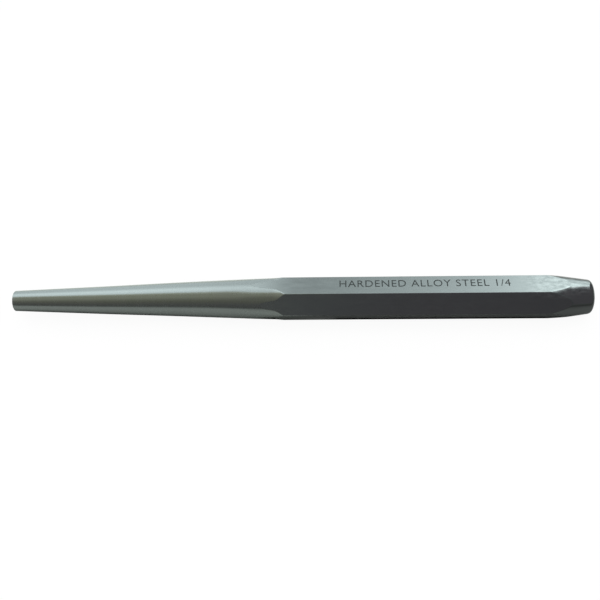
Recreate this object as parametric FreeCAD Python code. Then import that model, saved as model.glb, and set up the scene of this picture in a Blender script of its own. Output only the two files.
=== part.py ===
"""Hand punch for metalwork: one bar of hexagonal tool steel.

The bar lies on one of its six flats, with its axis along X. The blunt tip points to -X and
the end that a hammer strikes points to +X. The origin is on the resting flat, halfway along.

A long round taper is ground from the tip into the shank. Near its end the grinding runs out
in a hollow arc, which leaves the flats as six tongues and the corners as six short spikes.
The struck end is bevelled all round, with a rounded edge and a flat face.
"""
import FreeCAD, Part
import math
import os

# Driving dimensions, in millimetres and degrees
OVERALL_LENGTH = 177.8
ACROSS_FLATS = 12.0
CORNER_ROUNDING = 0.2

TIP_DIAMETER = 6.35
TIP_EDGE_BREAK = 0.15
TAPER_SLOPE = 0.0403           # growth of the radius per millimetre of length
RUN_OUT_START = 82.3           # distance from the tip where the taper turns hollow
RUN_OUT_RADIUS = 11.6

BEVEL_LENGTH = 13.0
BEVEL_HALF_ANGLE = 8.1
STRUCK_EDGE_RADIUS = 1.25

# Sizes that follow from them
FLAT_RADIUS = ACROSS_FLATS / 2
CORNER_RADIUS = FLAT_RADIUS / math.cos(math.radians(30))
TIP_RADIUS = TIP_DIAMETER / 2
TIP_X = -OVERALL_LENGTH / 2
STRUCK_X = OVERALL_LENGTH / 2
BEVEL_X = STRUCK_X - BEVEL_LENGTH
CLEARANCE = 1.0                # how far a cutting outline stands outside the bar


def outline_point(x, radius):
    """A point of the turned outline, in the plane that holds the bar's axis."""
    return FreeCAD.Vector(x, 0, radius)


def hexagonal_bar():
    """The bar stock, centred on the X axis, with a flat facing straight up and down."""
    corners = []
    for step in range(7):
        angle = math.radians(60 * step)
        y = CORNER_RADIUS * math.cos(angle)
        z = CORNER_RADIUS * math.sin(angle)
        corners.append(FreeCAD.Vector(TIP_X, y, z))
    section = Part.Face(Part.makePolygon(corners))
    bar = section.extrude(FreeCAD.Vector(OVERALL_LENGTH, 0, 0))
    long_edges = [edge for edge in bar.Edges if edge.Length > CORNER_RADIUS * 2]
    return bar.makeFillet(CORNER_ROUNDING, long_edges)


def taper_edges():
    """The tip's face, its broken edge, the straight taper and the hollow run-out arc."""
    slope_angle = math.atan(TAPER_SLOPE)
    centre_of_tip = outline_point(TIP_X, 0)
    rim_of_tip = outline_point(TIP_X, TIP_RADIUS - TIP_EDGE_BREAK)
    start_radius = TIP_RADIUS + TAPER_SLOPE * TIP_EDGE_BREAK
    taper_start = outline_point(TIP_X + TIP_EDGE_BREAK, start_radius)
    arc_start_x = TIP_X + RUN_OUT_START
    arc_start_radius = TIP_RADIUS + TAPER_SLOPE * RUN_OUT_START
    taper_end = outline_point(arc_start_x, arc_start_radius)

    # The arc is tangent to the taper, and it leaves the bar past the corners
    centre_x = arc_start_x - RUN_OUT_RADIUS * math.sin(slope_angle)
    centre_radius = arc_start_radius + RUN_OUT_RADIUS * math.cos(slope_angle)
    outer_radius = CORNER_RADIUS + CLEARANCE
    end_angle = math.acos((centre_radius - outer_radius) / RUN_OUT_RADIUS)
    middle_angle = (slope_angle + end_angle) / 2
    arc_middle = outline_point(centre_x + RUN_OUT_RADIUS * math.sin(middle_angle),
                               centre_radius - RUN_OUT_RADIUS * math.cos(middle_angle))
    arc_end = outline_point(centre_x + RUN_OUT_RADIUS * math.sin(end_angle), outer_radius)
    edges = [
        Part.makeLine(centre_of_tip, rim_of_tip),
        Part.makeLine(rim_of_tip, taper_start),
        Part.makeLine(taper_start, taper_end),
        Part.Arc(taper_end, arc_middle, arc_end).toShape(),
    ]
    return edges, arc_end


def struck_end_edges():
    """The bevel, its rounded edge and the struck face, from the bar outwards."""
    bevel_angle = math.radians(BEVEL_HALF_ANGLE)
    outer_radius = CORNER_RADIUS + CLEARANCE
    outer_x = BEVEL_X - CLEARANCE / math.tan(bevel_angle)
    bevel_start = outline_point(outer_x, outer_radius)

    # The rounded edge is tangent to the bevel and to the face
    sharp_radius = CORNER_RADIUS - BEVEL_LENGTH * math.tan(bevel_angle)
    tangent_length = STRUCK_EDGE_RADIUS * math.tan((math.pi / 2 - bevel_angle) / 2)
    bevel_end = outline_point(STRUCK_X - tangent_length * math.cos(bevel_angle),
                              sharp_radius + tangent_length * math.sin(bevel_angle))
    face_radius = sharp_radius - tangent_length
    centre_x = STRUCK_X - STRUCK_EDGE_RADIUS
    middle_angle = (math.pi / 2 - bevel_angle) / 2
    edge_middle = outline_point(centre_x + STRUCK_EDGE_RADIUS * math.cos(middle_angle),
                                face_radius + STRUCK_EDGE_RADIUS * math.sin(middle_angle))
    face_rim = outline_point(STRUCK_X, face_radius)
    face_centre = outline_point(STRUCK_X, 0)
    edges = [
        Part.makeLine(bevel_start, bevel_end),
        Part.Arc(bevel_end, edge_middle, face_rim).toShape(),
        Part.makeLine(face_rim, face_centre),
    ]
    return bevel_start, edges


def turned_envelope():
    """The round outline that grinding leaves: everything outside it is cut away."""
    first_edges, shank_start = taper_edges()
    shank_end, last_edges = struck_end_edges()
    shank_edge = Part.makeLine(shank_start, shank_end)
    axis_edge = Part.makeLine(outline_point(STRUCK_X, 0), outline_point(TIP_X, 0))
    outline = Part.Wire(first_edges + [shank_edge] + last_edges + [axis_edge])
    half_section = Part.Face(outline)
    return half_section.revolve(FreeCAD.Vector(0, 0, 0), FreeCAD.Vector(1, 0, 0), 360)


def punch_body():
    """The finished punch, lifted so that its lowest flat lies at Z = 0."""
    body = hexagonal_bar().common(turned_envelope()).Solids[0]
    body.translate(FreeCAD.Vector(0, 0, FLAT_RADIUS))
    return body


os.makedirs("parts", exist_ok=True)
nodes = {"punch_body": punch_body()}
for name, shape in nodes.items():
    shape.exportStep("parts/" + name + ".step")
    print(name, shape.ShapeType, "valid", shape.isValid(), "volume mm3", round(shape.Volume, 1))
    print("  box", shape.BoundBox)
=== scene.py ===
"""Looks for the taper punch: a bar of hexagonal tool steel with a round ground taper.

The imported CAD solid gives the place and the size. One detailed mesh replaces it, with the
ground surfaces meeting the flats in tongues and spikes, and a generic stamped line of text.
"""

import math

import bpy
from mathutils import Matrix, Vector, noise


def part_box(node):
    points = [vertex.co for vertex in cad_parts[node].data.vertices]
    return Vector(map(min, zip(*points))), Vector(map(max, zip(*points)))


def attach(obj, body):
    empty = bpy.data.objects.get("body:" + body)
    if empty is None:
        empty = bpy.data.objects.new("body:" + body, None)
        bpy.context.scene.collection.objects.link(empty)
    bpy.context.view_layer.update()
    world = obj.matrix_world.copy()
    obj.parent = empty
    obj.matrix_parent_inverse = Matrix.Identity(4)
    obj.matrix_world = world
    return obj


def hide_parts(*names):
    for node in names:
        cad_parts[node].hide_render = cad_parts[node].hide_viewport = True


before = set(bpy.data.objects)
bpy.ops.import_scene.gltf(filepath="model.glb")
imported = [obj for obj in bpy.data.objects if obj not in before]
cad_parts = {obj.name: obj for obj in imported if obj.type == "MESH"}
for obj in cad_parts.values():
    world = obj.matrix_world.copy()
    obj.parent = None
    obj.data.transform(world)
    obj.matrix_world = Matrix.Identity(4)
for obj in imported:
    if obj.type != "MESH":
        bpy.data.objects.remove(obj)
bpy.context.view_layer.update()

MM = 0.001

# The bar, as the frame gives it
BOX_LOW, BOX_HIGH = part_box("punch_body")
LENGTH = BOX_HIGH.x - BOX_LOW.x
FLAT_RADIUS = (BOX_HIGH.z - BOX_LOW.z) / 2
SHARP_CORNER = FLAT_RADIUS / math.cos(math.radians(30))     # from the axis to an unrounded corner
AXIS_HEIGHT = (BOX_HIGH.z + BOX_LOW.z) / 2
CORNER_ROUNDING = 0.2 * MM

# The taper. Distances run from the tip
TIP_RADIUS = 3.175 * MM
TIP_EDGE = 0.15 * MM
TAPER_SLOPE = 0.0403
RUN_OUT_START = 81.6 * MM
RUN_OUT_RADIUS = 12 * MM
RUN_OUT_REACH = 0.9 * RUN_OUT_RADIUS     # by here the hollow arc has left the bar
# The thick half of the taper is ground a little off the bar's axis
OFF_AXIS = 0.1 * MM
OFF_AXIS_DIRECTION = math.radians(42)
OFF_AXIS_START = 25 * MM
OFF_AXIS_END = 55 * MM
# The last of the taper is ground a little too deep on one side
DIP_DEPTH = 0.35 * MM
DIP_DIRECTION = math.radians(119)
DIP_NARROWNESS = 4
DIP_START = 60 * MM
DIP_END = 77 * MM
SPIKE_HEIGHT = 0.10 * MM                 # what the grinding leaves along the corners
SPIKE_GROWS = (68 * MM, 77 * MM)
SPIKE_START = math.radians(15)           # measured from the middle of the nearest flat
TOUCH_HEIGHT = 0.03 * MM                 # the grinding still marks a flat that lies this far below it
RAGGEDNESS = 0.6                         # how much that distance varies
RAGGED_WAVE = 0.9 * MM
RAGGED_WAVES_ROUND = 8

# The struck end. Distances run back from its face
BEVEL_LENGTH = 13.0 * MM
BEVEL_ANGLE = math.radians(8.1)
BEVEL_SHIFT = 0.1 * MM                   # the bevel is ground a little off the bar's axis
BEVEL_SHIFT_DIRECTION = math.radians(102)
BEVEL_UNEVENNESS = 0.006 * MM
BEVEL_WAVE = 5 * MM                      # how long its uneven spots are
BEVEL_WAVES_ROUND = 1.6
BEVEL_UNEVEN_FROM = 3 * MM               # nearer the face than this it becomes even
BEVEL_MARGIN = 2 * MM                    # how far before the bevel its close rings begin
STRUCK_EDGE = 1.25 * MM

# The grid of the detailed mesh
SECTORS = 6
SECTOR = math.radians(60)                # one flat's share of the round
SECTOR_HALF = SECTOR / 2
STRAIGHT_UP = math.radians(90)           # angles run round the axis, from +Y up to +Z
TONGUE_HALVINGS = 30                     # of the search for a tongue's edge
CREASE_HALF = math.radians(0.4)
NARROWEST_TONGUE = math.radians(3)
WIDEST_TONGUE = math.radians(29)
TONGUE_COLUMNS = (0.3, 0.55, 0.75, 0.9, 1.0)
GROUND_COLUMNS = (0.0, 0.2, 0.4, 0.6, 0.8, 1.0)
RUN_OUT_STRETCH = (70 * MM, 88 * MM)
TAPER_SPACING = 1.2 * MM
RUN_OUT_SPACING = 0.2 * MM
SHANK_SPACING = 4 * MM
BEVEL_SPACING = 0.3 * MM
TIP_FACE_RINGS = (0.25, 0.6, 0.9, 1.0)   # as shares of the face's radius
STRUCK_FACE_RINGS = (0.9, 0.6, 0.3)
TIP_EDGE_STEPS = 4
STRUCK_EDGE_STEPS = 8
SHARP_FROM = math.radians(40)            # edges that turn more than this are shaded sharp

# The finishes, in the order of the mesh's materials
BAR, GROUND, BEVEL, FACED = range(4)

# The stamped line
STAMP_TEXT = "HARDENED ALLOY STEEL 1/4"
STAMP_HEIGHT = 2.75 * MM
STAMP_LENGTH = 51.2 * MM
STAMP_CENTRE = Vector((38.45 * MM, 0.38 * MM))
STAMP_DEPTH = 0.12 * MM
STAMP_SPACING = 1.1
STAMP_SMOOTHNESS = 4

# The camera
CAMERA_AZIMUTH = math.radians(4.5)
CAMERA_ELEVATION = math.radians(48.0)
CAMERA_ROLL = math.radians(-3.78)
CAMERA_DISTANCE = 243.8 * MM
CAMERA_TARGET = Vector((0.68 * MM, 0, AXIS_HEIGHT - 0.568 * MM))
CAMERA_LENS = 47.23                      # in millimetres, as is the sensor's width
SENSOR_WIDTH = 36
NEAREST_SEEN = 10 * MM


def ramp(value, start, end):
    """Goes smoothly from 0 at start to 1 at end."""
    t = min(max((value - start) / (end - start), 0), 1)
    return t * t * (3 - 2 * t)


def interpolate(stops, value):
    """The value of a broken line given as (position, level) stops."""
    if value <= stops[0][0]:
        return stops[0][1]
    for (start, low), (end, high) in zip(stops, stops[1:]):
        if value <= end:
            return low + (high - low) * (value - start) / (end - start)
    return stops[-1][1]


# ---------------------------------------------------------------- shape

def turn_from_flat(angle):
    """The angle from the middle of the nearest flat. A flat faces straight up."""
    return abs((angle - STRAIGHT_UP + SECTOR_HALF) % SECTOR - SECTOR_HALF)


def bar_radius(angle):
    """The hexagonal bar, with its corners slightly rounded."""
    turn = turn_from_flat(angle)
    inner = FLAT_RADIUS - CORNER_ROUNDING
    if turn <= math.atan(inner * math.tan(SECTOR_HALF) / FLAT_RADIUS):
        return FLAT_RADIUS / math.cos(turn)
    centre = inner / math.cos(SECTOR_HALF)
    off = SECTOR_HALF - turn
    return centre * math.cos(off) + math.sqrt(CORNER_ROUNDING ** 2 - (centre * math.sin(off)) ** 2)


def wave_spot(along, angle, wave, waves_round):
    """Where to read the noise for a spot of the surface, without a seam round the bar."""
    return Vector((along / wave, waves_round * math.cos(angle), waves_round * math.sin(angle)))


def ground_radius(along, angle):
    """The ground taper and its hollow run-out."""
    toward = (1 + math.cos(angle - DIP_DIRECTION)) / 2
    dip = DIP_DEPTH * toward ** DIP_NARROWNESS
    off = OFF_AXIS * math.cos(angle - OFF_AXIS_DIRECTION) * ramp(along, OFF_AXIS_START, OFF_AXIS_END)
    spike = SPIKE_HEIGHT * ramp(turn_from_flat(angle), SPIKE_START, SECTOR_HALF) * ramp(along, *SPIKE_GROWS)
    radius = TIP_RADIUS + TAPER_SLOPE * along + off + spike - dip * ramp(along, DIP_START, DIP_END)
    rise = max(along - RUN_OUT_START, 0)
    if rise > RUN_OUT_REACH:
        return math.inf
    return radius + RUN_OUT_RADIUS - math.sqrt(RUN_OUT_RADIUS ** 2 - rise ** 2)


def bevel_shift(angle):
    """How much deeper than its mean the bevel is ground on one side."""
    return BEVEL_SHIFT * math.cos(angle - BEVEL_SHIFT_DIRECTION)


def bevel_radius(along, angle):
    """The bevel of the struck end, ground by hand and so not quite even."""
    back = LENGTH - along
    if back > BEVEL_LENGTH + BEVEL_MARGIN:
        return math.inf
    spot = wave_spot(along, angle, BEVEL_WAVE, BEVEL_WAVES_ROUND)
    uneven = BEVEL_UNEVENNESS * noise.noise(spot) * ramp(back, STRUCK_EDGE, BEVEL_UNEVEN_FROM)
    return SHARP_CORNER - (BEVEL_LENGTH - back) * math.tan(BEVEL_ANGLE) + uneven - bevel_shift(angle)


def body_radius(along, angle):
    return min(bar_radius(angle), ground_radius(along, angle), bevel_radius(along, angle))


def tongue_half_width(along, middle, side):
    """How far the flat round the angle middle reaches to one side, before a ground surface cuts it."""
    narrow, wide = 0.0, SECTOR_HALF
    for _ in range(TONGUE_HALVINGS):
        trial = (narrow + wide) / 2
        angle = middle + side * trial
        ground = min(ground_radius(along, angle), bevel_radius(along, angle))
        if FLAT_RADIUS / math.cos(trial) < ground:
            narrow = trial
        else:
            wide = trial
    return min(max(narrow, NARROWEST_TONGUE), WIDEST_TONGUE)


def half_sector_offsets(half_width):
    """Columns from the middle of a flat to its corner, with two of them astride the tongue's edge."""
    tongue_edge = half_width - CREASE_HALF
    ground_edge = half_width + CREASE_HALF
    offsets = [tongue_edge * share for share in TONGUE_COLUMNS]
    offsets += [ground_edge + (SECTOR_HALF - ground_edge) * share for share in GROUND_COLUMNS]
    return offsets


def ring_angles(along):
    """The angles of one ring of vertices. Every ring has the same number of them."""
    angles = []
    for sector in range(SECTORS):
        middle = STRAIGHT_UP + SECTOR * sector
        before = half_sector_offsets(tongue_half_width(along, middle, -1))[:-1]
        after = half_sector_offsets(tongue_half_width(along, middle, 1))
        angles += [middle - offset for offset in reversed(before)]
        angles.append(middle)
        angles += [middle + offset for offset in after]
    return angles


def spaced(start, end, step):
    """Evenly spaced positions from start up to, and not including, end."""
    count = max(round((end - start) / step), 1)
    return [start + (end - start) * i / count for i in range(count)]


def row_positions():
    """Distances from the tip of all rings between the tip's edge and the struck edge."""
    run_out_from, run_out_to = RUN_OUT_STRETCH
    bevel_from = LENGTH - BEVEL_LENGTH - BEVEL_MARGIN
    rows = spaced(TIP_EDGE, run_out_from, TAPER_SPACING)
    rows += spaced(run_out_from, run_out_to, RUN_OUT_SPACING)
    rows += spaced(run_out_to, bevel_from, SHANK_SPACING)
    rows += spaced(bevel_from, LENGTH - STRUCK_EDGE, BEVEL_SPACING)
    return rows


def surface_kind(along, angle):
    """Which finish covers a spot of the long surface."""
    bar, ground, bevel = bar_radius(angle), ground_radius(along, angle), bevel_radius(along, angle)
    spot = wave_spot(along, angle, RAGGED_WAVE, RAGGED_WAVES_ROUND)
    touched = TOUCH_HEIGHT * (1 + RAGGEDNESS * noise.noise(spot))
    if bar <= min(ground - touched, bevel):
        return BAR
    return GROUND if ground < bevel else BEVEL


class RingMesh:
    """Collects rings of vertices round the X axis and joins each to the one before."""

    def __init__(self):
        self.vertices, self.faces, self.kinds, self.rings = [], [], [], []

    def add_ring(self, x, angles, radii, kinds):
        """Adds a ring. The kinds are those of the faces between it and the ring before."""
        first = len(self.vertices)
        for angle, radius in zip(angles, radii):
            place = (x, radius * math.cos(angle), AXIS_HEIGHT + radius * math.sin(angle))
            self.vertices.append(place)
        ring = list(range(first, first + len(angles)))
        if self.rings:
            last = self.rings[-1]
            for i in range(len(ring)):
                j = (i + 1) % len(ring)
                self.faces.append((last[i], last[j], ring[j], ring[i]))
                self.kinds.append(kinds[i])
        self.rings.append(ring)

    def add_centre(self, x, first_cap):
        """Closes the mesh with a fan from a point on the axis."""
        centre = len(self.vertices)
        self.vertices.append((x, 0, AXIS_HEIGHT))
        ring = self.rings[0] if first_cap else self.rings[-1]
        for i in range(len(ring)):
            j = (i + 1) % len(ring)
            corner = (centre, ring[j], ring[i]) if first_cap else (centre, ring[i], ring[j])
            self.faces.append(corner)
            self.kinds.append(FACED)


def add_tip(grid):
    """The tip's face and its broken edge."""
    angles = ring_angles(0)
    count = len(angles)
    face_radius = TIP_RADIUS - TIP_EDGE
    for share in TIP_FACE_RINGS:
        grid.add_ring(BOX_LOW.x, angles, [face_radius * share] * count, [FACED] * count)
    for step in range(1, TIP_EDGE_STEPS):
        turn = math.radians(90 * step / TIP_EDGE_STEPS)
        x = BOX_LOW.x + TIP_EDGE * (1 - math.cos(turn))
        radius = face_radius + TIP_EDGE * math.sin(turn)
        grid.add_ring(x, angles, [radius] * count, [GROUND] * count)


def add_long_surface(grid):
    """The taper, its run-out, the hexagonal shank and the bevel."""
    previous = 0
    for along in row_positions():
        angles = ring_angles(along)
        radii = [body_radius(along, angle) for angle in angles]
        kinds = []
        for i, angle in enumerate(angles):
            following = angles[(i + 1) % len(angles)]
            between = angle + ((following - angle + math.pi) % (2 * math.pi) - math.pi) / 2
            kinds.append(surface_kind((along + previous) / 2, between))
        grid.add_ring(BOX_LOW.x + along, angles, radii, kinds)
        previous = along


def add_struck_end(grid):
    """The rounded edge, tangent to the bevel and to the face, and the face."""
    angles = ring_angles(LENGTH)
    count = len(angles)
    start_radius = SHARP_CORNER - BEVEL_LENGTH * math.tan(BEVEL_ANGLE)
    sweep = math.pi / 2 - BEVEL_ANGLE
    rim_radius = start_radius - STRUCK_EDGE * math.tan(sweep / 2)
    for step in range(STRUCK_EDGE_STEPS + 1):
        turn = sweep * (1 - step / STRUCK_EDGE_STEPS)
        x = BOX_HIGH.x - STRUCK_EDGE * (1 - math.cos(turn))
        radii = [rim_radius + STRUCK_EDGE * math.sin(turn) - bevel_shift(angle) for angle in angles]
        grid.add_ring(x, angles, radii, [BEVEL] * count)
    for share in STRUCK_FACE_RINGS:
        radii = [(rim_radius - bevel_shift(angle)) * share for angle in angles]
        grid.add_ring(BOX_HIGH.x, angles, radii, [FACED] * count)


def punch_mesh():
    """The whole punch as one closed mesh, before the stamp is cut."""
    grid = RingMesh()
    add_tip(grid)
    add_long_surface(grid)
    add_struck_end(grid)
    grid.add_centre(BOX_LOW.x, first_cap=True)
    grid.add_centre(BOX_HIGH.x, first_cap=False)
    mesh = bpy.data.meshes.new("punch")
    mesh.from_pydata(grid.vertices, [], grid.faces)
    mesh.polygons.foreach_set("material_index", grid.kinds)
    mesh.validate()
    return mesh


def evaluated_mesh(piece):
    """The piece's mesh with its modifiers applied."""
    depsgraph = bpy.context.evaluated_depsgraph_get()
    depsgraph.update()
    return bpy.data.meshes.new_from_object(piece.evaluated_get(depsgraph))


def add_object(name, data):
    """Puts a mesh, a curve or a camera into the scene."""
    piece = bpy.data.objects.new(name, data)
    bpy.context.scene.collection.objects.link(piece)
    return piece


def stamp_cutter():
    """The generic line of text as closed solids that reach a little into the top flat."""
    curve = bpy.data.curves.new("stamp", "FONT")
    curve.body = STAMP_TEXT
    curve.align_x = "CENTER"
    curve.align_y = "CENTER"
    curve.resolution_u = STAMP_SMOOTHNESS
    curve.space_character = STAMP_SPACING
    text = add_object("stamp_text", curve)
    flat = evaluated_mesh(text)
    xs = [v.co.x for v in flat.vertices]
    ys = [v.co.y for v in flat.vertices]
    wide = STAMP_LENGTH / (max(xs) - min(xs))
    tall = STAMP_HEIGHT / (max(ys) - min(ys))
    bpy.data.meshes.remove(flat)
    curve.extrude = 1.0
    solid = evaluated_mesh(text)
    bpy.data.objects.remove(text)
    place = (Matrix.Translation((STAMP_CENTRE.x, STAMP_CENTRE.y, BOX_HIGH.z))
             @ Matrix.Diagonal((wide, tall, STAMP_DEPTH, 1)))
    solid.transform(place)
    return add_object("stamp_cutter", solid)


# ---------------------------------------------------------------- materials

class Nodes:
    """Short calls for building a node material."""

    def __init__(self, name):
        self.material = bpy.data.materials.new(name)
        self.material.use_nodes = True
        self.tree = self.material.node_tree
        self.shader = self.tree.nodes["Principled BSDF"]

    def add(self, kind, **settings):
        node = self.tree.nodes.new(kind)
        for key, value in settings.items():
            setattr(node, key, value)
        return node

    def link(self, source, target):
        self.tree.links.new(source, target)

    def place(self, scale):
        """Object coordinates stretched by a scale per metre along each axis."""
        coordinates = self.add("ShaderNodeTexCoord")
        mapping = self.add("ShaderNodeMapping", vector_type="POINT")
        mapping.inputs["Scale"].default_value = scale
        self.link(coordinates.outputs["Object"], mapping.inputs["Vector"])
        return mapping.outputs["Vector"]

    def noise(self, scale, detail=3.0, roughness=0.5):
        """Noise with a number of waves per metre along each axis."""
        texture = self.add("ShaderNodeTexNoise")
        texture.inputs["Scale"].default_value = 1.0
        texture.inputs["Detail"].default_value = detail
        texture.inputs["Roughness"].default_value = roughness
        self.link(self.place(scale), texture.inputs["Vector"])
        return texture.outputs["Fac"]

    def spread(self, value, low, high, from_low=0.3, from_high=0.7):
        """Maps a value's middle range to low..high."""
        node = self.add("ShaderNodeMapRange")
        node.inputs["From Min"].default_value = from_low
        node.inputs["From Max"].default_value = from_high
        node.inputs["To Min"].default_value = low
        node.inputs["To Max"].default_value = high
        self.link(value, node.inputs["Value"])
        return node.outputs["Result"]

    def weighted(self, first, share, second):
        """A share of the first value plus the rest of the second."""
        total = self.add("ShaderNodeMath", operation="MULTIPLY_ADD")
        rest = self.add("ShaderNodeMath", operation="MULTIPLY")
        total.inputs[1].default_value = share
        rest.inputs[1].default_value = 1 - share
        self.link(first, total.inputs[0])
        self.link(second, rest.inputs[0])
        self.link(rest.outputs["Value"], total.inputs[2])
        return total.outputs["Value"]

    def mix_colour(self, factor, first, second):
        """Mixes two colours, each of them given as a tuple or as another node's output."""
        node = self.add("ShaderNodeMix", data_type="RGBA")
        self.link(factor, node.inputs["Factor"])
        sockets = [s for s in node.inputs if s.type == "RGBA"]
        for socket, colour in zip(sockets, (first, second)):
            if isinstance(colour, tuple):
                socket.default_value = (*colour, 1)
            else:
                self.link(colour, socket)
        return [s for s in node.outputs if s.type == "RGBA"][0]

    def coordinate(self, axis):
        """A spot's X, Y or Z in metres."""
        coordinates = self.add("ShaderNodeTexCoord")
        parts = self.add("ShaderNodeSeparateXYZ")
        self.link(coordinates.outputs["Object"], parts.inputs["Vector"])
        return parts.outputs[axis]

    def bump(self, height, strength, distance):
        """Tilts the shading by a height, given as a value from 0 to 1 over a distance in metres."""
        node = self.add("ShaderNodeBump")
        node.inputs["Strength"].default_value = strength
        node.inputs["Distance"].default_value = distance
        self.link(height, node.inputs["Height"])
        self.link(node.outputs["Normal"], self.shader.inputs["Normal"])


def metal(name, anisotropy, spreads_along):
    """A bare steel whose highlight spreads along the bar, or round it."""
    nodes = Nodes(name)
    nodes.shader.inputs["Metallic"].default_value = 1.0
    nodes.shader.inputs["Anisotropic"].default_value = anisotropy
    if spreads_along:
        direction = nodes.add("ShaderNodeCombineXYZ")
        direction.inputs["X"].default_value = 1.0
        nodes.link(direction.outputs["Vector"], nodes.shader.inputs["Tangent"])
    else:
        tangent = nodes.add("ShaderNodeTangent", direction_type="RADIAL", axis="X")
        nodes.link(tangent.outputs["Tangent"], nodes.shader.inputs["Tangent"])
    return nodes


# Colours of the plain steel, of the scale in the letters and of what is ground by hand
STEEL_LIGHT = (0.585, 0.62, 0.615)
STEEL_DARK = (0.535, 0.57, 0.565)
SCALE_LIGHT = (0.12, 0.135, 0.135)
SCALE_DARK = (0.06, 0.07, 0.07)
HAND_DARK = (0.47, 0.505, 0.50)
HAND_LIGHT = (0.76, 0.80, 0.785)
HAND_GROUND_FROM = 66 * MM               # the X where the bar begins to be mottled
HAND_GROUND_FULLY = 74 * MM
MOTTLED_ABOVE = 9.8 * MM                 # the height above which it is, as on the bevel
MOTTLED_FULLY = 11 * MM


def hand_ground_colour(nodes):
    """The mottling left by grinding the struck end by hand."""
    streaks = nodes.noise((900, 1800, 1800), detail=4, roughness=0.6)
    patches = nodes.noise((420, 1000, 1000), detail=3)
    shade = nodes.weighted(streaks, 0.4, patches)
    share = nodes.spread(shade, 0, 1, from_low=0.38, from_high=0.66)
    mottled = nodes.mix_colour(share, HAND_DARK, HAND_LIGHT)
    upper = nodes.spread(nodes.coordinate("Z"), 0, 1, MOTTLED_ABOVE, MOTTLED_FULLY)
    return nodes.mix_colour(upper, STEEL_DARK, mottled)


def bar_steel():
    """Flats: drawn and belt-polished lengthwise, with fine lines along the bar."""
    nodes = metal("bar_steel", anisotropy=0.5, spreads_along=False)
    lines = nodes.noise((120, 4200, 4200), detail=4, roughness=0.6)
    clouds = nodes.noise((260, 700, 700), detail=3)
    shade = nodes.weighted(lines, 0.6, clouds)
    plain = nodes.mix_colour(nodes.spread(shade, 0, 1), STEEL_DARK, STEEL_LIGHT)
    by_hand = nodes.spread(nodes.coordinate("X"), 0, 1, HAND_GROUND_FROM, HAND_GROUND_FULLY)
    colour = nodes.mix_colour(by_hand, plain, hand_ground_colour(nodes))
    nodes.link(colour, nodes.shader.inputs["Base Color"])
    nodes.link(nodes.spread(clouds, 0.19, 0.24), nodes.shader.inputs["Roughness"])
    return nodes.material


def ground_steel():
    """Taper: turned and ground, with fine rings round the bar."""
    nodes = metal("ground_steel", anisotropy=0.85, spreads_along=True)
    rings = nodes.noise((5200, 90, 90), detail=3, roughness=0.6)
    wide_rings = nodes.noise((420, 60, 60), detail=2)
    shade = nodes.weighted(rings, 0.3, wide_rings)
    share = nodes.spread(shade, 0, 1, from_low=0.2, from_high=0.8)
    colour = nodes.mix_colour(share, STEEL_DARK, STEEL_LIGHT)
    nodes.link(colour, nodes.shader.inputs["Base Color"])
    nodes.link(nodes.spread(wide_rings, 0.26, 0.285), nodes.shader.inputs["Roughness"])
    nodes.bump(rings, strength=0.01, distance=0.01 * MM)
    return nodes.material


def bevel_steel():
    """Struck end: ground by hand, brighter and streaked."""
    nodes = metal("bevel_steel", anisotropy=0.2, spreads_along=False)
    nodes.link(hand_ground_colour(nodes), nodes.shader.inputs["Base Color"])
    patches = nodes.noise((500, 900, 900), detail=3)
    nodes.link(nodes.spread(patches, 0.06, 0.10), nodes.shader.inputs["Roughness"])
    return nodes.material


def faced_steel():
    """The two end faces, faced square to the bar."""
    nodes = metal("faced_steel", anisotropy=0.3, spreads_along=False)
    marks = nodes.noise((300, 2600, 2600), detail=4, roughness=0.6)
    colour = nodes.mix_colour(nodes.spread(marks, 0, 1), STEEL_DARK, STEEL_LIGHT)
    nodes.link(colour, nodes.shader.inputs["Base Color"])
    nodes.link(nodes.spread(marks, 0.3, 0.4), nodes.shader.inputs["Roughness"])
    nodes.bump(marks, strength=0.12, distance=0.02 * MM)
    return nodes.material


def stamped_steel():
    """The floor and walls of the stamped letters, darkened by scale."""
    nodes = Nodes("stamped_steel")
    nodes.shader.inputs["Metallic"].default_value = 0.6
    grain = nodes.noise((3000, 3000, 3000), detail=2)
    colour = nodes.mix_colour(nodes.spread(grain, 0, 1), SCALE_DARK, SCALE_LIGHT)
    nodes.link(colour, nodes.shader.inputs["Base Color"])
    nodes.link(nodes.spread(grain, 0.5, 0.65), nodes.shader.inputs["Roughness"])
    return nodes.material


# ---------------------------------------------------------------- the punch

def cut_stamp(piece):
    """Cuts the line of text into the top flat."""
    cutter = stamp_cutter()
    cutter.data.materials.append(stamped_steel())
    cut = piece.modifiers.new("stamp", "BOOLEAN")
    cut.operation = "DIFFERENCE"
    cut.solver = "EXACT"
    cut.material_mode = "TRANSFER"
    cut.use_self = True
    cut.object = cutter
    piece.data = evaluated_mesh(piece)
    piece.modifiers.clear()
    bpy.data.objects.remove(cutter)


def make_punch():
    """The punch in all its finishes, in place of the plain CAD solid."""
    mesh = punch_mesh()
    for material in (bar_steel(), ground_steel(), bevel_steel(), faced_steel()):
        mesh.materials.append(material)
    piece = add_object("punch", mesh)
    cut_stamp(piece)

    piece.data.shade_smooth()
    piece.data.set_sharp_from_angle(angle=SHARP_FROM)
    weighted = piece.modifiers.new("even_normals", "WEIGHTED_NORMAL")
    weighted.keep_sharp = True
    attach(piece, "root")
    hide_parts("punch_body")


# ---------------------------------------------------------------- studio

# The tent is a half-round one over the bar, in metres and degrees
TENT_RADIUS = 1.0
TENT_HALF_LENGTH = 1.8
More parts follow.
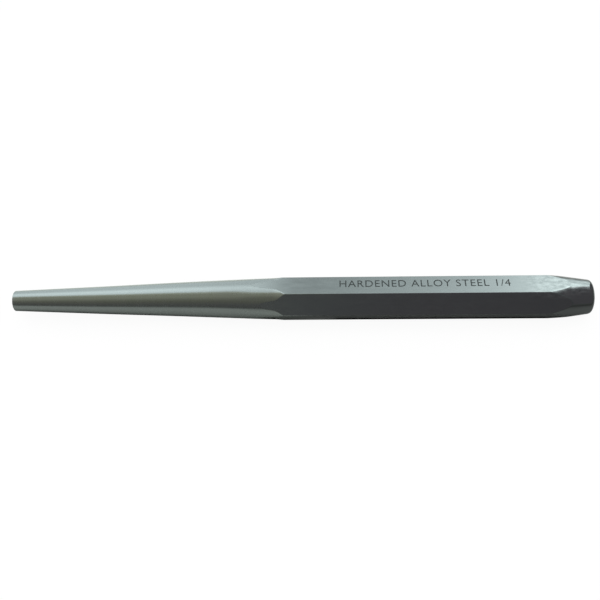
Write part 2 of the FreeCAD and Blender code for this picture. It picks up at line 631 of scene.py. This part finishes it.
# Its grid along the bar as (from, to, spacing), finest round the bright panel's end
TENT_STRETCHES = ((-TENT_HALF_LENGTH, -0.3, 0.1), (-0.3, 0.6, 0.02), (0.6, 0.7, 0.005),
                  (0.7, TENT_HALF_LENGTH, 0.1))
ELEVATION_SPACING = 2
# Its brightness by elevation: 0 is the horizon in front, 180 behind
TENT_LEVELS = ((0, 0.08), (12, 0.08), (24, 0.09), (36, 0.105), (48, 0.142), (64, 0.225),
               (80, 0.225), (87, 0.27), (92, 0.38), (97, 0.70), (104, 0.80), (118, 0.90),
               (132, 0.74), (148, 0.58), (164, 0.56), (180, 0.60))
# How its bright panel behind and its dim front change along the bar
PANEL_LEVELS = ((-0.58, 1.12), (-0.49, 1.36), (-0.39, 1.45), (-0.29, 1.28), (-0.22, 1.36),
                (-0.14, 1.30), (-0.10, 0.98), (-0.085, 0.42), (-0.03, 0.43), (0.015, 0.62),
                (0.115, 0.71), (0.243, 0.97), (0.305, 1.36), (0.346, 1.50), (0.60, 1.55))
FRONT_LEVELS = ((-0.2, 1.2), (-0.03, 0.92), (0.1, 0.75), (0.3, 0.70))
PANEL_ELEVATIONS = (84, 100)             # where the front gives way to the panel
# It is dark past the end of the panel, which the bevel mirrors
PANEL_END = (0.650, 0.666)
PAST_PANEL = 0.07
LEFT_WALL_LEVEL = 0.5
# Just before its end the panel hangs lower
LOW_CORNER = (0.50, 0.56)
LOW_CORNER_ELEVATIONS = (70, 76)
LOW_CORNER_LEVEL = 0.85
# It glows a little behind the thick end of the taper
GLOW = 0.22
GLOW_FROM = (-0.25, -0.10)
GLOW_TO = (-0.02, 0.05)
GLOW_ELEVATIONS = (140, 156)
# It is darker behind the bar's struck end
BEHIND_END = (0.40, 0.50)
BEHIND_ELEVATIONS = (156, 178)
BEHIND_DARKER = 0.45
# Its tints. The panel is cool, and the front's tint changes along the bar
COOL = (0.90, 1.01, 1.02)
COOL_ABOVE = 92
FRONT_TINTS = ((-0.25, (0.98, 1.0, 0.90)), (-0.05, (0.95, 1.0, 1.05)), (0.12, (1.06, 1.0, 1.09)))
# The middle of the front is olive where the taper mirrors it
OLIVE = (1.02, 1.05, 0.76)
OLIVE_ELEVATIONS = (16, 36)
OLIVE_FROM = (-0.74, -0.62)
OLIVE_TO = (-0.06, 0.04)

# How pale the table is as the steel mirrors it, by distance behind the bar's axis. The levels are
# painted shade, darker in front of the bar and under it, and on the right a painted shadow.
# What is in front of it is negative. All of the table's places are in millimetres
TABLE_SHADED_LEFT = ((-80, 0.042), (-40, 0.226), (-12, 0.26), (-7, 0.244), (-4, 0.14), (4, 0.14),
              (12, 0.65), (30, 0.70), (150, 0.38))
TABLE_SHADED_RIGHT = ((-300, 0.065), (-80, 0.05), (-40, 0.038), (-5, 0.12), (-4.3, 0.20), (-4.15, 0.24),
               (4, 0.10), (12, 0.45), (30, 0.40), (120, 0.12))
TABLE_CHANGE = (-4, 8)                   # where along the bar the left levels give way to the right's painted shadow
TABLE_TINTS = (0.93, 0.97)               # its red and blue as a share of its green, left and right
TABLE_HEIGHT = 0.02                      # it lies just above the floor
# Its grid, finest where the bar touches it
TABLE_DEPTHS = (-1000, -300, -150, -80, -40, -20, -12, -9, -7, -6, -5.6, -5.3, -4.9, -4.7, -4.3,
                -4.2, -4.05, -3.3, -3.0, -2.6, -2.2, -1.9, 0, 1.9, 2.2, 2.6, 3, 3.9, 4.3, 8, 12,
                30, 60, 150, 1000)
TABLE_COLUMNS = (-1800, -600, -200, -100, -76, -75, -50, -30, -21, -16, -11.5, -10.5, -7.5, -6.5,
                 -4, 0, 4, 6, 8, 10, 12, 14, 22, 50, 85, 87, 100, 200, 600, 1800)
# The line where the bar touches it is painted black as a contact shadow, and this wide to each side along
# the bar
CONTACT_SHADOW_ENDS = (-76, 86)
CONTACT_SHADOW_WIDTHS = ((-75, 2.2), (-30, 3.2), (-11.5, 3.2), (-10.5, 4.2), (-7.5, 4.2), (-6.5, 2.0),
                  (6, 2.0), (12, 4.06))
CONTACT_SHADOW_LEVEL = 0.003

FLOOR_HALF_SIZE = 4.0
FLOOR_GREY = 0.08
FLOOR_GLOW = 0.92                        # it is paper lit from below, so shadows on it are faint
DAYLIGHT = 1.15


def only_in_reflections(sheet):
    sheet.visible_camera = False
    sheet.visible_diffuse = False
    sheet.visible_shadow = False
    sheet.visible_transmission = False


def tent_level(elevation, x):
    """How bright the tent is at a spot."""
    panel = interpolate(PANEL_LEVELS, x)
    front = interpolate(FRONT_LEVELS, x)
    share = ramp(elevation, *PANEL_ELEVATIONS)
    level = interpolate(TENT_LEVELS, elevation) * (front + share * (panel - front))
    corner = ramp(x, *LOW_CORNER) * ramp(elevation, *LOW_CORNER_ELEVATIONS)
    level = max(level, LOW_CORNER_LEVEL * corner)
    level *= 1 + GLOW * ramp(x, *GLOW_FROM) * (1 - ramp(x, *GLOW_TO)) * ramp(elevation, *GLOW_ELEVATIONS)
    level *= 1 - BEHIND_DARKER * ramp(x, *BEHIND_END) * ramp(elevation, *BEHIND_ELEVATIONS)
    return level + ramp(x, *PANEL_END) * (PAST_PANEL - level)


def tent_tint(elevation, x):
    """Its red, green and blue as shares of that."""
    front = [interpolate([(place, tint[i]) for place, tint in FRONT_TINTS], x) for i in range(3)]
    if ramp(x, *PANEL_END) > 0.5:
        return front
    if elevation > COOL_ABOVE or x > LOW_CORNER[0]:
        return COOL
    share = ramp(elevation, *OLIVE_ELEVATIONS) * ramp(x, *OLIVE_FROM) * (1 - ramp(x, *OLIVE_TO))
    return [channel + share * (olive - channel) for channel, olive in zip(front, OLIVE)]


def tent_colour(x, elevation):
    level = tent_level(elevation, x)
    return [level * channel for channel in tent_tint(elevation, x)] + [1.0]


def card_material(name, glows):
    """A sheet's vertex colours, as light of its own or as matt paint."""
    nodes = Nodes(name)
    colour = nodes.add("ShaderNodeVertexColor", layer_name="glow")
    if glows:
        light = nodes.add("ShaderNodeEmission")
        nodes.link(colour.outputs["Color"], light.inputs["Color"])
        nodes.link(light.outputs["Emission"], nodes.tree.nodes["Material Output"].inputs["Surface"])
    else:
        nodes.shader.inputs["Roughness"].default_value = 1.0
        nodes.shader.inputs["Specular IOR Level"].default_value = 0.0
        nodes.link(colour.outputs["Color"], nodes.shader.inputs["Base Color"])
    return nodes.material


def card(name, columns, rows, place, colour, material):
    """A sheet over a grid of (column, row) values, coloured at each point."""
    points = [(c, r) for r in rows for c in columns]
    wide = len(columns)
    faces = []
    for r in range(len(rows) - 1):
        for c in range(wide - 1):
            start = r * wide + c
            faces.append((start, start + 1, start + 1 + wide, start + wide))
    mesh = bpy.data.meshes.new(name)
    mesh.from_pydata([place(*point) for point in points], [], faces)
    layer = mesh.color_attributes.new("glow", "FLOAT_COLOR", "POINT")
    for i, point in enumerate(points):
        layer.data[i].color = colour(*point)
    mesh.materials.append(material)
    sheet = add_object(name, mesh)
    only_in_reflections(sheet)


def end_wall(name, x, level, cloth):
    """A plain wall that closes one end of the tent."""
    def place(y, z):
        return (x, y, z)

    def colour(y, z):
        return (level, level, level, 1)

    card(name, (-TENT_RADIUS, TENT_RADIUS), (0, TENT_RADIUS), place, colour, cloth)


def light_tent():
    """A half-round tent over the bar, seen only as the steel's reflections."""
    columns = []
    for start, end, spacing in TENT_STRETCHES:
        columns += spaced(start, end, spacing)
    columns.append(TENT_HALF_LENGTH)
    elevations = range(0, 180 + ELEVATION_SPACING, ELEVATION_SPACING)

    def place(x, elevation):
        turn = math.radians(elevation)
        return (x, -TENT_RADIUS * math.cos(turn), TENT_RADIUS * math.sin(turn))

    cloth = card_material("tent_cloth", glows=True)
    card("light_tent", columns, elevations, place, tent_colour, cloth)
    end_wall("left_wall", -TENT_HALF_LENGTH, LEFT_WALL_LEVEL, cloth)
    end_wall("right_wall", TENT_HALF_LENGTH, PAST_PANEL, cloth)


def shaded_table_card():
    """The darker table top that the steel mirrors, with painted shade and a painted contact shadow."""
    def place(x, y):
        return (x * MM, y * MM, TABLE_HEIGHT * MM)

    def colour(x, y):
        change = ramp(x, *TABLE_CHANGE)
        # painted shade, darker in front of and under the bar, and on the right a painted shadow
        level = interpolate(TABLE_SHADED_LEFT, y)
        level += change * (interpolate(TABLE_SHADED_RIGHT, y) - level)
        # painted contact shadow: black where the bar touches the table
        if CONTACT_SHADOW_ENDS[0] < x < CONTACT_SHADOW_ENDS[1] and abs(y) <= interpolate(CONTACT_SHADOW_WIDTHS, x):
            level = CONTACT_SHADOW_LEVEL
        left, right = TABLE_TINTS
        tint = left + change * (right - left)
        return (level * tint, level, level * tint, 1.0)

    cloth = card_material("shaded_table_cloth", glows=False)
    card("shaded_table_card", TABLE_COLUMNS, TABLE_DEPTHS, place, colour, cloth)


def floor():
    """White paper, which the steel doesn't mirror."""
    mesh = bpy.data.meshes.new("floor")
    half = FLOOR_HALF_SIZE
    corners = [(-half, -half, 0), (half, -half, 0), (half, half, 0), (-half, half, 0)]
    mesh.from_pydata(corners, [], [(0, 1, 2, 3)])
    nodes = Nodes("floor_paper")
    nodes.shader.inputs["Base Color"].default_value = (FLOOR_GREY, FLOOR_GREY, FLOOR_GREY, 1)
    nodes.shader.inputs["Emission Color"].default_value = (1, 1, 1, 1)
    nodes.shader.inputs["Emission Strength"].default_value = FLOOR_GLOW
    nodes.shader.inputs["Roughness"].default_value = 1.0
    nodes.shader.inputs["Specular IOR Level"].default_value = 0.0
    mesh.materials.append(nodes.material)
    sheet = add_object("floor", mesh)
    sheet.visible_glossy = False


def daylight():
    world = bpy.data.worlds.new("studio")
    world.use_nodes = True
    background = world.node_tree.nodes["Background"]
    background.inputs["Color"].default_value = (1, 1, 1, 1)
    background.inputs["Strength"].default_value = DAYLIGHT
    bpy.context.scene.world = world


def camera():
    data = bpy.data.cameras.new("camera")
    data.lens = CAMERA_LENS
    data.sensor_width = SENSOR_WIDTH
    data.clip_start = NEAREST_SEEN
    seen = add_object("camera", data)
    seen.matrix_world = (Matrix.Translation(CAMERA_TARGET)
                         @ Matrix.Rotation(CAMERA_AZIMUTH, 4, "Z")
                         @ Matrix.Rotation(math.pi / 2 - CAMERA_ELEVATION, 4, "X")
                         @ Matrix.Translation((0, 0, CAMERA_DISTANCE))
                         @ Matrix.Rotation(CAMERA_ROLL, 4, "Z"))
    bpy.context.scene.camera = seen


camera()
floor()
light_tent()
shaded_table_card()
daylight()
make_punch()
bpy.context.scene.view_settings.view_transform = "Standard"
